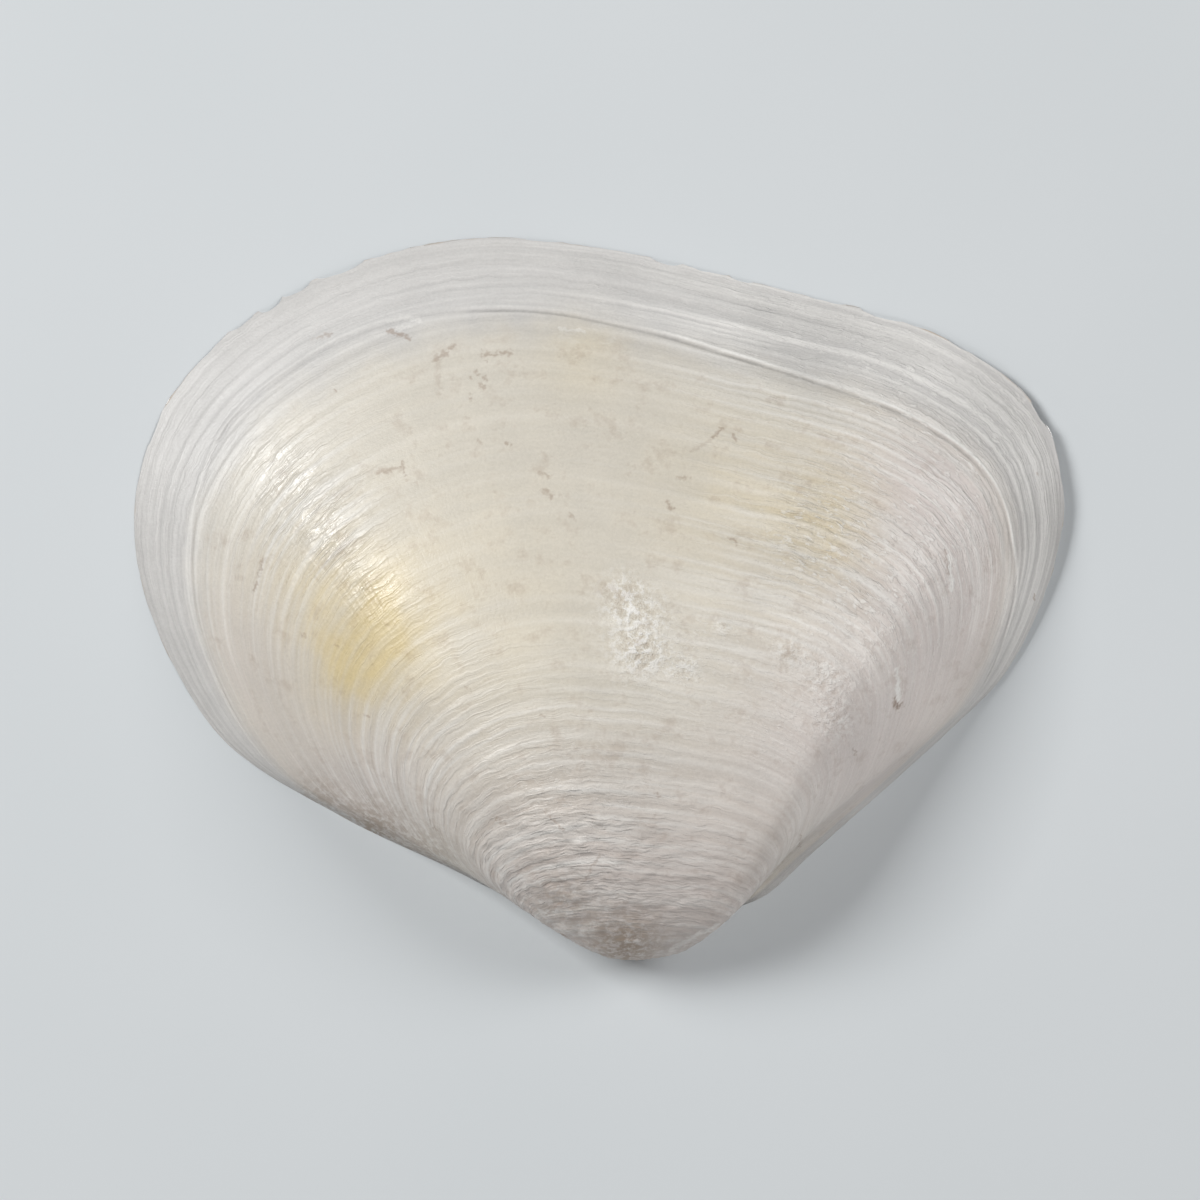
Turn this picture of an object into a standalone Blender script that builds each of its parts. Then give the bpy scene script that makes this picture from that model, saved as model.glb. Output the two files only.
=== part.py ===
"""One valve of Austromacoma constricta, the right one, lying on its rim with the outside up.

Its outside is a growth spiral. Every growth stage is a smaller copy of the margin, turned about the
hinge axis towards the beak, so the growth lines are the rows of the mesh. Its inside is a dome that
keeps the wall's thickness below the outside, with a hinge plate under the beak.

+X points to the narrow posterior end, +Y away from the hinge and +Z out of the convex side. The
margin's points and the growth stages are measured from the hinge point, which lies just behind the
margin, under the beak. At the end the valve is moved so that the origin is the bottom centre of its
bounding box.
"""

import math

import bmesh
import bpy
import numpy as np
from mathutils import Vector
from mathutils.bvhtree import BVHTree

MM = 0.001

# Driving sizes, in millimetres.
MARGIN = [
    (0.0, 1.1), (4.3, 1.1), (7.7, 2.0), (10.8, 4.7), (19.4, 12.4), (22.5, 15.6), (24.7, 20.0),
    (25.9, 24.5), (25.7, 28.2), (24.5, 31.2), (22.1, 33.7), (17.5, 36.3), (8.2, 38.9), (-2.0, 41.2),
    (-9.9, 41.7), (-18.4, 39.6), (-25.2, 35.3), (-28.9, 30.2), (-30.0, 24.9), (-29.0, 19.1),
    (-24.7, 11.6), (-17.5, 6.9), (-11.2, 3.9), (-6.8, 1.8), (-3.7, 1.1),
]
WALL_MIDDLE = 1.4
WALL_AT_RIM = 0.6
RIM_WIDTH = 0.6
WALL_GROWS_OVER = 12.0

# The growth spiral. A stage is the angle, in radians, that it is turned back from the margin.
SPREAD_AT_RIM = 1.5
SPREAD_AT_BEAK = 1.17
SPREAD_FADE = 0.35
BEAK_STAGE = 2.3
BEAK_SHIFT = 0.2
BEAK_ROUNDING = 0.2
YOUNG_FROM, YOUNG_TO = 0.5, 1.5
YOUNG_POSTERIOR, YOUNG_ANTERIOR = 1.18, 1.09

# The posterior end bends up, out of the plane of the rim.
FLEX_CENTRE = (25.5, 27.0)
FLEX_REACH = 17.0
FLEX_HEIGHT = 0.8

# A low ridge runs from the beak to the posterior corner, with a shallow furrow behind it.
RIDGE_AT, RIDGE_WIDTH, RIDGE_HEIGHT = (24.0, 31.8), 3.4, 0.35
FURROW_AT, FURROW_WIDTH, FURROW_DEPTH = (25.9, 23.5), 3.5, 0.35
FOLDS_FULL_STAGE = 0.25

# Growth checks: the stage of each ledge, and how far the older shell stands proud of it.
CHECKS = [
    (0.035, 0.05), (0.075, 0.15), (0.100, 0.06), (0.265, 0.07), (0.375, 0.04), (0.575, 0.09),
    (0.635, 0.04), (0.700, 0.07), (0.800, 0.06), (0.870, 0.05), (1.060, 0.06),
]
CHECK_HALF_WIDTH = 0.004
CHECK_FADE = 0.04
FULL_LEDGE_SPREAD = 60.0

# The hinge plate lies a little inside the plane of the rim, so that its teeth stay off the ground.
PLATE_RECESS = 0.9
PLATE_EDGE_SHARE = 0.36
PLATE_DEPTH, LEAST_DEPTH = 2.7, 0.25
PLATE_HALF_LENGTH = 13.0
HINGE_MIDDLE_X = 1.0
WALL_FOOT, WALL_FOOT_AT_PLATE = 1.2, 2.6
WALL_FOOT_ROUNDING = 0.3

# The two teeth and the ligament's ledge: middle, length, width, height and turn in degrees.
TEETH = [
    ((-0.8, 3.1), 1.9, 0.7, 0.75, 106.0),
    ((0.7, 3.1), 1.9, 1.0, 0.75, 72.0),
]
LIGAMENT_LEDGE = ((5.0, 3.1), 4.6, 0.8, 0.55, 14.0)
TAPER = 0.6
ROOT_IN_PLATE = 0.3

# How finely the surfaces are divided.
AROUND = 86
SPLINE_STEPS = 24
HINGE_DENSITY, HINGE_DENSITY_REACH = 1.3, 9.0
WIDE_GAP = 0.05
BEAK_ROWS = 8
BEAK_CAP_TURNS = (30.0, 60.0)
INNER_POLE = (-2.0, 18.0)
PLATE_ROWS = (0.0, 0.18, PLATE_EDGE_SHARE, 1.0)
FOOT_ROWS = (0.33, 0.67, 1.0)
DOME_ROWS = (0.08, 0.18, 0.30, 0.45, 0.62, 0.80)
FINE = 3
FINE_STAGES = 120
ABOVE_ALL = 100.0
BALL_SHARES = (0.0, 0.5, 0.87)
BALL_DIRECTIONS = 10

SHELL_COLOUR = (0.74, 0.69, 0.60, 1.0)
SHELL_ROUGHNESS = 0.42
SHARP_ANGLE = 50.0


def smooth(value):
    """0 below 0, 1 above 1, and an even rise between."""
    clipped = np.clip(value, 0.0, 1.0)
    return clipped * clipped * (3.0 - 2.0 * clipped)


def closed_spline(points, steps):
    """A smooth closed curve through the points, as many steps from each to the next."""
    share = np.linspace(0.0, 1.0, steps, endpoint=False)[:, None]
    rise, leaving, arriving = share**2 * (3 - 2 * share), share * (1 - share) ** 2, share**2 * (share - 1)
    curve = []
    for i in range(len(points)):
        before, start = points[i - 1], points[i]
        end, after = points[(i + 1) % len(points)], points[(i + 2) % len(points)]
        gaps = [np.linalg.norm(b - a) ** 0.5 for a, b in ((before, start), (start, end), (end, after))]
        leave = end - start + gaps[1] * ((start - before) / gaps[0] - (end - before) / (gaps[0] + gaps[1]))
        arrive = end - start + gaps[1] * ((after - end) / gaps[2] - (after - start) / (gaps[1] + gaps[2]))
        curve.append(start + rise * (end - start) + leaving * leave + arriving * arrive)
    return np.concatenate(curve)


def margin_curve(count):
    """Points along the margin, closer together by the hinge, from its middle by the posterior end."""
    curve = closed_spline(np.array(MARGIN), SPLINE_STEPS)
    closed = np.vstack([curve, curve[:1]])
    from_hinge = np.hypot(*closed[1:].T) / HINGE_DENSITY_REACH
    weight = 1.0 + HINGE_DENSITY * np.exp(-(from_hinge**2))
    length = np.linalg.norm(np.diff(closed, axis=0), axis=1)
    travelled = np.concatenate([[0.0], np.cumsum(weight * length)])
    wanted = np.linspace(0.0, travelled[-1], count, endpoint=False)
    plan = np.column_stack([np.interp(wanted, travelled, closed[:, axis]) for axis in (0, 1)])
    lift = FLEX_HEIGHT * smooth(1.0 - np.hypot(*(plan - FLEX_CENTRE).T) / FLEX_REACH)
    return np.column_stack([plan, lift])


def growth_scale(stage):
    """The size of a growth stage as a share of the full margin."""
    fade = SPREAD_FADE * (1.0 - math.exp(-stage / SPREAD_FADE))
    return math.exp(-SPREAD_AT_BEAK * stage - (SPREAD_AT_RIM - SPREAD_AT_BEAK) * fade)


def smooth_ring(margin, stage):
    """The margin at a growth stage, before any relief."""
    scale, young = growth_scale(stage), smooth((stage - YOUNG_FROM) / (YOUNG_TO - YOUNG_FROM))
    widen = 1.0 + young * (np.where(margin[:, 0] > 0, YOUNG_POSTERIOR, YOUNG_ANTERIOR) - 1.0)
    x = margin[:, 0] * widen * scale + BEAK_SHIFT * (1.0 - scale)
    y = scale * (margin[:, 1] * math.cos(stage) - margin[:, 2] * math.sin(stage))
    z = scale * (margin[:, 1] * math.sin(stage) + margin[:, 2] * math.cos(stage))
    return np.column_stack([x, y, z])


def relief(margin, stage, spread):
    """How far the outside stands off the smooth spiral: growth checks, ridge and furrow."""
    scale = growth_scale(stage)
    ledges = sum(height * math.exp(-(stage - at) / CHECK_FADE) for at, height in CHECKS if stage > at)
    folds = np.zeros(len(margin))
    for at, width, height in (
        (RIDGE_AT, RIDGE_WIDTH, RIDGE_HEIGHT),
        (FURROW_AT, FURROW_WIDTH, -FURROW_DEPTH),
    ):
        folds += height * np.exp(-((np.hypot(*(margin[:, :2] - at).T) / width) ** 2))
    open_bands = np.minimum(1.0, spread / (FULL_LEDGE_SPREAD * scale))
    return ledges * open_bands + folds * scale * float(smooth(stage / FOLDS_FULL_STAGE))


def ring(margin, stage):
    """A growth stage with its relief, moved out along the surface's normal."""
    step = 1e-3
    points = smooth_ring(margin, stage)
    along = np.roll(points, -1, axis=0) - np.roll(points, 1, axis=0)
    along /= np.linalg.norm(along, axis=1)[:, None]
    back = (smooth_ring(margin, stage + step) - smooth_ring(margin, stage - step)) / (2 * step)
    normal = np.cross(along, back)
    spread = np.linalg.norm(normal, axis=1)
    return points + normal / spread[:, None] * relief(margin, stage, spread)[:, None]


def outer_stages():
    """The stages of the mesh's rows: both sides of each check, some between, and the beak."""
    stages = [0.0]
    for at, _ in CHECKS:
        low = at - CHECK_HALF_WIDTH
        gap = low - stages[-1]
        steps = 2 if gap > WIDE_GAP else 1
        stages += [stages[-1] + gap * i / steps for i in range(1, steps + 1)]
        stages.append(at + CHECK_HALF_WIDTH)
    first = stages[-1]
    stages += [first + (BEAK_STAGE - first) * i / BEAK_ROWS for i in range(1, BEAK_ROWS + 1)]
    return stages


def grid_faces(rows, count, first=0):
    """Quads between neighbouring rows of a closed grid."""
    faces = []
    for row in range(rows - 1):
        for i in range(count):
            a, b = first + row * count + i, first + row * count + (i + 1) % count
            faces.append((a, b, b + count, a + count))
    return faces


def fan_faces(first, count, tip, flip=False):
    """Triangles from a ring to a tip."""
    pairs = [(first + i, first + (i + 1) % count) for i in range(count)]
    return [(b, a, tip) if flip else (a, b, tip) for a, b in pairs]


def fine_outside():
    """The smooth spiral, finely divided, for measuring heights under it."""
    margin = margin_curve(AROUND * FINE)
    rings = [smooth_ring(margin, stage) for stage in np.linspace(0.0, BEAK_STAGE, FINE_STAGES)]
    points = [Vector(p) for p in np.concatenate(rings)]
    return BVHTree.FromPolygons(points, grid_faces(FINE_STAGES, len(margin)))


def ball_offsets():
    """Places under a unit ball, and how far down its surface is from its widest plane at each."""
    turns = [2 * math.pi * i / BALL_DIRECTIONS for i in range(BALL_DIRECTIONS)]
    places = {(round(r * math.cos(t), 6), round(r * math.sin(t), 6), r) for r in BALL_SHARES for t in turns}
    return [(x, y, math.sqrt(1.0 - r * r)) for x, y, r in sorted(places)]


def under_wall(outside, ball, place, wall):
    """The height of the wall's inner face: the lowest that a ball as thick as the wall hangs."""
    heights = []
    for x, y, drop in ball:
        start = Vector((place[0] + wall * x, place[1] + wall * y, ABOVE_ALL))
        hit = outside.ray_cast(start, Vector((0, 0, -1)))[0]
        heights.append((hit.z if hit else 0.0) - wall * drop)
    return min(heights)


def inner_rows(margin):
    """The inside, from the rim's inner edge to the pole, as rows of points."""
    outside, ball = fine_outside(), ball_offsets()
    plan = margin[:, :2]
    inward = np.array(INNER_POLE) - plan
    reach = np.linalg.norm(inward, axis=1)
    inward /= reach[:, None]
    start = plan + inward * RIM_WIDTH
    hinge = smooth(1.5 * (1.0 - np.hypot(plan[:, 0] - HINGE_MIDDLE_X, plan[:, 1]) / PLATE_HALF_LENGTH))
    depth = LEAST_DEPTH + hinge * (PLATE_DEPTH - LEAST_DEPTH)
    foot = WALL_FOOT + hinge * (WALL_FOOT_AT_PLATE - WALL_FOOT)
    dome = reach - RIM_WIDTH - depth - foot
    distances = [share * depth for share in PLATE_ROWS] + [depth + share * foot for share in FOOT_ROWS]
    distances += [depth + foot + share * dome for share in DOME_ROWS + (1.0,)]
    rows = []
    for distance in distances:
        wall = WALL_AT_RIM + (WALL_MIDDLE - WALL_AT_RIM) * smooth(distance / WALL_GROWS_OVER)
        place = start + inward * distance[:, None]
        under = np.array([under_wall(outside, ball, *values) for values in zip(place, wall)])
        under = 0.25 * (np.roll(under, 1) + 2.0 * under + np.roll(under, -1))
        recessed = smooth(distance / (PLATE_EDGE_SHARE * depth))
        floor = margin[:, 2] + hinge * PLATE_RECESS * recessed
        gap = under - floor
        lift = 0.5 * (gap + np.hypot(gap, WALL_FOOT_ROUNDING)) * smooth((distance - depth) / foot)
        rows.append(np.column_stack([place, floor + lift]))
    return rows


def beak_cap(last_ring, before):
    """Rings that round off the beak beyond the last growth stage, and its tip."""
    middle = last_ring.mean(axis=0)
    onward = middle - before.mean(axis=0)
    onward /= np.linalg.norm(onward)
    rings = []
    for degrees in BEAK_CAP_TURNS:
        turn = math.radians(degrees)
        rings.append(middle + (last_ring - middle) * math.cos(turn) + onward * BEAK_ROUNDING * math.sin(turn))
    return rings, middle + onward * BEAK_ROUNDING


def valve_mesh():
    """The closed valve, in millimetres from the hinge point."""
    margin = margin_curve(AROUND)
    rings = [ring(margin, stage) for stage in outer_stages()]
    cap, tip = beak_cap(rings[-1], rings[-2])
    rings += cap
    *inner, pole = inner_rows(margin)
    outer_count, inner_count = len(rings) * AROUND, len(inner) * AROUND
    first = outer_count + 1
    faces = grid_faces(len(rings), AROUND) + fan_faces(outer_count - AROUND, AROUND, outer_count)
    for i in range(AROUND):
        j = (i + 1) % AROUND
        faces.append((j, i, first + i, first + j))
    faces += [face[::-1] for face in grid_faces(len(inner), AROUND, first)]
    faces += fan_faces(first + inner_count - AROUND, AROUND, first + inner_count, flip=True)
    points = np.vstack([*rings, tip, *inner, pole.mean(axis=0)])
    return points, faces


def make_object(name, points, faces, collection):
    """A mesh object from points in millimetres."""
    mesh = bpy.data.meshes.new(name)
    mesh.from_pydata([Vector(p) * MM for p in points], [], faces)
    mesh.update()
    made = bpy.data.objects.new(name, mesh)
    collection.objects.link(made)
    return made


def tooth(name, middle, length, width, height, turn, collection):
    """A tapered block that stands down from the hinge plate, with its root inside the plate."""
    form = bmesh.new()
    bmesh.ops.create_cube(form, size=1.0)
    for vertex in form.verts:
        narrow = TAPER if vertex.co.z < 0 else 1.0
        vertex.co.x *= length * narrow
        vertex.co.y *= width * narrow
        vertex.co.z = PLATE_RECESS - height if vertex.co.z < 0 else PLATE_RECESS + ROOT_IN_PLATE
    mesh = bpy.data.meshes.new(name)
    form.to_mesh(mesh)
    form.free()
    made = bpy.data.objects.new(name, mesh)
    made.scale = (MM, MM, MM)
    made.location = (middle[0] * MM, middle[1] * MM, 0.0)
    made.rotation_euler.z = math.radians(turn)
    made.hide_render = True
    made.display_type = "WIRE"
    collection.objects.link(made)
    return made


def shell_material():
    """Chalky off-white shell."""
    material = bpy.data.materials.new("shell")
    material.use_nodes = True
    shader = material.node_tree.nodes["Principled BSDF"]
    shader.inputs["Base Color"].default_value = SHELL_COLOUR
    shader.inputs["Roughness"].default_value = SHELL_ROUGHNESS
    shader.inputs["Metallic"].default_value = 0.0
    material.diffuse_color = SHELL_COLOUR
    return material


def new_collection(name):
    """A collection in the scene."""
    made = bpy.data.collections.new(name)
    bpy.context.scene.collection.children.link(made)
    return made


def main():
    for old in list(bpy.data.objects):
        bpy.data.objects.remove(old)
    shell = new_collection("austromacoma_valve")
    helpers = new_collection("hinge_forms")
    points, faces = valve_mesh()
    low, high = points.min(axis=0), points.max(axis=0)
    shift = np.array([(low[0] + high[0]) / 2, (low[1] + high[1]) / 2, low[2]])
    valve = make_object("valve", points - shift, faces, shell)
    forms = [("tooth_front",) + TEETH[0], ("tooth_back",) + TEETH[1], ("ligament_ledge",) + LIGAMENT_LEDGE]
    for name, middle, length, width, height, turn in forms:
        place = (middle[0] - shift[0], middle[1] - shift[1])
        form = tooth(name, place, length, width, height, turn, helpers)
        union = valve.modifiers.new(name, "BOOLEAN")
        union.operation = "UNION"
        union.object = form
    valve.data.materials.append(shell_material())
    valve.data.shade_smooth()
    valve.data.set_sharp_from_angle(angle=math.radians(SHARP_ANGLE))


main()
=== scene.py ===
"""Looks of one right valve of Austromacoma constricta, lying on its rim.

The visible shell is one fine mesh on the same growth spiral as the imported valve. Its rows are growth
stages and its columns are places around the margin, so growth lines, wrinkles and chips follow the
way the shell grew. Lengths are millimetres measured from the hinge point until the mesh is made.
"""

import math

import bpy
import numpy as np
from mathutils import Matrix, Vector
from mathutils.bvhtree import BVHTree


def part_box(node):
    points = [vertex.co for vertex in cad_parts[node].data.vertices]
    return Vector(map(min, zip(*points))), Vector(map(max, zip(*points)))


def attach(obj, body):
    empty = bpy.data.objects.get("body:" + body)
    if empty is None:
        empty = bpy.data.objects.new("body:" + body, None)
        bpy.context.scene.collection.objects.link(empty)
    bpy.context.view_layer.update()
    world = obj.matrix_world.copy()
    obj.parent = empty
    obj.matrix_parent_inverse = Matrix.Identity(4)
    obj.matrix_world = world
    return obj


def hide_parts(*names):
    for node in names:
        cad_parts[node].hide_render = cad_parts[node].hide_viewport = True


MM = 0.001

# The margin and the growth spiral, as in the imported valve.
MARGIN = [
    (0.0, 1.1), (4.3, 1.1), (7.7, 2.0), (10.8, 4.7), (19.4, 12.4), (22.5, 15.6), (24.7, 20.0),
    (25.9, 24.5), (25.7, 28.2), (24.5, 31.2), (22.1, 33.7), (17.5, 36.3), (8.2, 38.9), (-2.0, 41.2),
    (-9.9, 41.7), (-18.4, 39.6), (-25.2, 35.3), (-28.9, 30.2), (-30.0, 24.9), (-29.0, 19.1),
    (-24.7, 11.6), (-17.5, 6.9), (-11.2, 3.9), (-6.8, 1.8), (-3.7, 1.1),
]
SPREAD_AT_RIM, SPREAD_AT_BEAK, SPREAD_FADE = 1.5, 1.17, 0.35
BEAK_STAGE, BEAK_SHIFT, BEAK_ROUNDING = 2.3, 0.2, 0.2
YOUNG_FROM, YOUNG_TO, YOUNG_POSTERIOR, YOUNG_ANTERIOR = 0.5, 1.5, 1.18, 1.09
FLEX_CENTRE, FLEX_REACH, FLEX_HEIGHT = (25.5, 27.0), 17.0, 0.8
RIDGE_AT, RIDGE_WIDTH, RIDGE_HEIGHT = (24.0, 31.8), 3.4, 0.35
FURROW_AT, FURROW_WIDTH, FURROW_DEPTH = (25.9, 23.5), 3.5, 0.35
FOLDS_FULL_STAGE = 0.25
WALL_MIDDLE, WALL_AT_RIM, RIM_WIDTH, WALL_GROWS_OVER = 1.4, 0.6, 0.6, 12.0
PLATE_RECESS, PLATE_EDGE_SHARE, PLATE_DEPTH, LEAST_DEPTH = 0.9, 0.36, 2.7, 0.25
PLATE_HALF_LENGTH, HINGE_MIDDLE_X = 13.0, 1.0
WALL_FOOT, WALL_FOOT_AT_PLATE, WALL_FOOT_ROUNDING = 1.2, 2.6, 0.3

# How finely the surfaces are divided. Rings near the margin and on the hinge plate have twice the
# points, and those at the very edge four times.
AROUND = 220
EDGE_LENGTHS = (0.0, 0.06, 0.14, 0.24)
RIM_LENGTHS = (0.34, 0.45, 0.56, 0.67, 0.78, 0.89, 1.0, 1.12)
ROW_BREAKS = ((1.25, 18), (3.2, 52), (6.6, 276))
SPLINE_STEPS = 24
GROWN_LENGTH = 45.0
BEAK_CAP_TURNS = (20.0, 40.0, 60.0, 78.0)
PLATE_ROWS = (0.0, 0.08, 0.18, 0.27, PLATE_EDGE_SHARE, 0.46, 0.56, 0.66, 0.76, 0.87, 1.0)
FOOT_ROWS = (0.16, 0.33, 0.5, 0.67, 0.84, 1.0)
DOME_ROWS = tuple((i / 28) ** 1.1 for i in range(1, 28))
INNER_POLE = (-2.0, 18.0)
LIP_WIDTH = 0.04
BALL_SHARES, BALL_DIRECTIONS, ABOVE_ALL = (0.0, 0.5, 0.87), 10, 100.0
# How closely the columns stand: everywhere, more on the far side, and most around the hinge.
COLUMNS_EVEN, COLUMNS_FAR, COLUMNS_HINGE = 0.75, 0.35, 1.2
FAR_FROM, FAR_OVER, HINGE_REACH = 8.0, 16.0, 8.5

# Growth lines: millimetres of growth behind the margin, height in mm, and the part of the turn
# around the margin where each shows.
LINES = [
    (0.80, 0.030, 0.22, 0.82), (1.30, 0.040, 0.44, 0.62), (1.60, 0.045, 0.58, 0.82),
    (2.00, 0.035, 0.40, 0.60), (2.50, 0.070, 0.56, 0.82), (2.84, 0.050, 0.38, 0.60),
    (3.24, 0.050, 0.40, 0.84), (3.70, 0.055, 0.42, 0.64), (4.70, 0.060, 0.60, 0.84),
    (5.40, 0.045, 0.58, 0.82), (6.60, 0.050, 0.15, 0.85),
    (7.70, 0.018, 0.30, 0.62), (10.2, 0.014, 0.52, 0.75), (14.2, 0.060, 0.10, 0.90),
    (16.5, 0.022, 0.50, 0.72), (18.5, 0.040, 0.15, 0.85), (21.1, 0.024, 0.30, 0.75),
    (23.4, 0.018, 0.55, 0.78), (24.7, 0.080, 0.15, 0.85), (26.2, 0.040, 0.15, 0.85),
    (26.9, 0.028, 0.28, 0.60), (27.8, 0.060, 0.12, 0.88), (28.4, 0.040, 0.55, 0.80),
    (29.5, 0.035, 0.25, 0.56), (30.1, 0.060, 0.12, 0.88), (30.6, 0.035, 0.25, 0.52),
    (31.0, 0.030, 0.25, 0.48), (31.4, 0.050, 0.12, 0.88), (32.0, 0.045, 0.45, 0.72),
    (32.7, 0.040, 0.45, 0.72), (33.3, 0.030, 0.40, 0.75), (34.4, 0.060, 0.12, 0.88),
    (35.2, 0.030, 0.25, 0.70), (36.2, 0.030, 0.30, 0.75), (37.1, 0.025, 0.25, 0.70),
    (38.1, 0.025, 0.30, 0.75),
]

# The strongest growth line: share of the turn, and millimetres of growth behind the margin.
STRONG_LINE = [
    (0.140, 2.6), (0.200, 3.6), (0.231, 4.34), (0.262, 5.50), (0.293, 5.57), (0.322, 5.54),
    (0.359, 5.60), (0.419, 5.06), (0.453, 4.86), (0.498, 4.55), (0.531, 4.45), (0.575, 4.10),
    (0.615, 3.99), (0.666, 4.05), (0.712, 5.00), (0.760, 5.30), (0.880, 4.2),
]
# The strong line's height in mm, the part of the turn where it shows, and how strongly its lip is whitened,
# partly with a painted highlight, and its groove darkened, partly with painted shade.
STRONG_HEIGHT, STRONG_SHOWN, STRONG_PALE_AND_PAINTED_LIGHT = 0.09, (0.14, 0.88), 1.6
# The ledges' rise and fade in mm, and the width and paleness of their whitened edges: partly the shell's
# whiter edges, partly a painted highlight.
LEDGE_RISE, LEDGE_FADE, EDGE_WIDTH, EDGE_PALE_AND_HIGHLIGHT = 0.20, 0.6, 0.12, 9.0
FINE_RIDGES, FINE_RIDGE_HEIGHT, FINE_RIDGES_SPAN = 620, 0.030, (0.2, 41.0)
# The growth lines' waviness in mm: slow, quick, and more of the quick on the posterior side.
SLOW_WAVE, QUICK_WAVE, POSTERIOR_WAVE = 0.10, 0.03, 0.04
# How high the fine and the coarse wrinkles are in mm: umbo, posterior side, flank, everywhere.
FINE_WRINKLES, COARSE_WRINKLES = (0.024, 0.020, 0.010, 0.006), (0.012, 0.016, 0.012, 0.0)
WINDOW_SOFT, SWELL_HEIGHT, RELIEF_FROM = 0.06, 0.06, 0.010

# Where the relief is stronger or weaker than elsewhere: middle, radius in mm, and how much.
LIVELY = 0.9
LIVELY_PATCHES = [
    ((-11.0, 30.0), 6.5, -0.75), ((-2.0, 31.0), 7.5, -0.75), ((-9.0, 22.0), 6.5, -0.65),
    ((-3.5, 24.0), 6.0, -0.35), ((11.0, 24.0), 5.0, 0.9), ((18.5, 23.0), 5.0, 0.6),
    ((17.0, 32.0), 4.0, 0.5), ((6.0, 36.5), 5.0, 0.5), ((-4.4, 5.5), 4.5, 0.9),
    ((-18.8, 24.7), 3.5, 1.1), ((-15.8, 17.0), 3.0, 0.2), ((-24.0, 34.0), 5.0, -0.5),
    ((-13.0, 11.0), 3.5, 0.4), ((5.0, 12.0), 3.5, -0.3), ((8.0, 5.0), 4.0, -0.2),
    ((-21.0, 13.5), 4.5, -0.5), ((14.5, 10.5), 4.0, -0.5), ((19.0, 15.5), 4.0, -0.4),
]


def smooth(value):
    """0 below 0, 1 above 1, and an even rise between."""
    clipped = np.clip(value, 0.0, 1.0)
    return clipped * clipped * (3.0 - 2.0 * clipped)


def bell(distance, width):
    """1 at no distance, falling off evenly to almost nothing at twice the width."""
    return np.exp(-((distance / width) ** 2))


def patches(plan, listed):
    """How strong the listed patches are at each place."""
    total = np.zeros(plan.shape[:-1])
    for (x, y), radius, strength in listed:
        total += strength * bell(np.hypot(plan[..., 0] - x, plan[..., 1] - y), radius)
    return total


def lattice_noise(across, along, cells, seed):
    """Smooth noise from -1 to 1. The first coordinate repeats after so many cells."""
    table = np.random.default_rng(seed).uniform(-1.0, 1.0, (cells, 512))
    i, j = np.floor(across).astype(int), np.floor(along).astype(int)
    u, v = smooth(across - i), smooth(along - j)
    a, b = i % cells, (i + 1) % cells
    c, d = j % 512, (j + 1) % 512
    low = table[a, c] * (1 - u) + table[b, c] * u
    high = table[a, d] * (1 - u) + table[b, d] * u
    return low * (1 - v) + high * v


def closed_spline(points, steps):
    """A smooth closed curve through the points, as many steps from each to the next."""
    share = np.linspace(0.0, 1.0, steps, endpoint=False)[:, None]
    rise, leaving, arriving = share**2 * (3 - 2 * share), share * (1 - share) ** 2, share**2 * (share - 1)
    curve = []
    for i in range(len(points)):
        before, start = points[i - 1], points[i]
        end, after = points[(i + 1) % len(points)], points[(i + 2) % len(points)]
        gaps = [np.linalg.norm(b - a) ** 0.5 for a, b in ((before, start), (start, end), (end, after))]
        leave = end - start + gaps[1] * ((start - before) / gaps[0] - (end - before) / (gaps[0] + gaps[1]))
        arrive = end - start + gaps[1] * ((after - end) / gaps[2] - (after - start) / (gaps[1] + gaps[2]))
        curve.append(start + rise * (end - start) + leaving * leave + arriving * arrive)
    return np.concatenate(curve)


def margin_columns(count):
    """Points along the margin with their lift, and the share of the whole turn at each."""
    curve = closed_spline(np.array(MARGIN), SPLINE_STEPS)
    closed = np.vstack([curve, curve[:1]])
    middle = 0.5 * (closed[1:] + closed[:-1])
    weight = COLUMNS_EVEN + COLUMNS_FAR * smooth((middle[:, 1] - FAR_FROM) / FAR_OVER)
    weight += COLUMNS_HINGE * bell(np.hypot(*middle.T), HINGE_REACH)
    length = np.linalg.norm(np.diff(closed, axis=0), axis=1)
    travelled = np.concatenate([[0.0], np.cumsum(weight * length)])
    turn = np.concatenate([[0.0], np.cumsum(length)]) / length.sum()
    wanted = np.linspace(0.0, travelled[-1], count, endpoint=False)
    plan = np.column_stack([np.interp(wanted, travelled, closed[:, axis]) for axis in (0, 1)])
    lift = FLEX_HEIGHT * smooth(1.0 - np.hypot(*(plan - FLEX_CENTRE).T) / FLEX_REACH)
    return np.column_stack([plan, lift]), np.interp(wanted, travelled, turn)


def growth_scale(stage):
    """The size of a growth stage as a share of the full margin."""
    fade = SPREAD_FADE * (1.0 - np.exp(-stage / SPREAD_FADE))
    return np.exp(-SPREAD_AT_BEAK * stage - (SPREAD_AT_RIM - SPREAD_AT_BEAK) * fade)


def grown(stage):
    """Millimetres of growth between a stage and the margin, along the middle of the shell."""
    return GROWN_LENGTH * (1.0 - growth_scale(stage))


def stage_at_grown(length):
    """The stage that lies so many millimetres of growth behind the margin."""
    stages = np.linspace(0.0, BEAK_STAGE, 2000)
    return np.interp(length, grown(stages), stages)


def smooth_surface(margin, stage):
    """The spiral without relief. stage is one value for each row and column."""
    scale = growth_scale(stage)
    young = smooth((stage - YOUNG_FROM) / (YOUNG_TO - YOUNG_FROM))
    widen = 1.0 + young * (np.where(margin[:, 0] > 0, YOUNG_POSTERIOR, YOUNG_ANTERIOR) - 1.0)
    x = margin[:, 0] * widen * scale + BEAK_SHIFT * (1.0 - scale)
    y = scale * (margin[:, 1] * np.cos(stage) - margin[:, 2] * np.sin(stage))
    z = scale * (margin[:, 1] * np.sin(stage) + margin[:, 2] * np.cos(stage))
    return np.stack([x, y, z], axis=-1)


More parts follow.
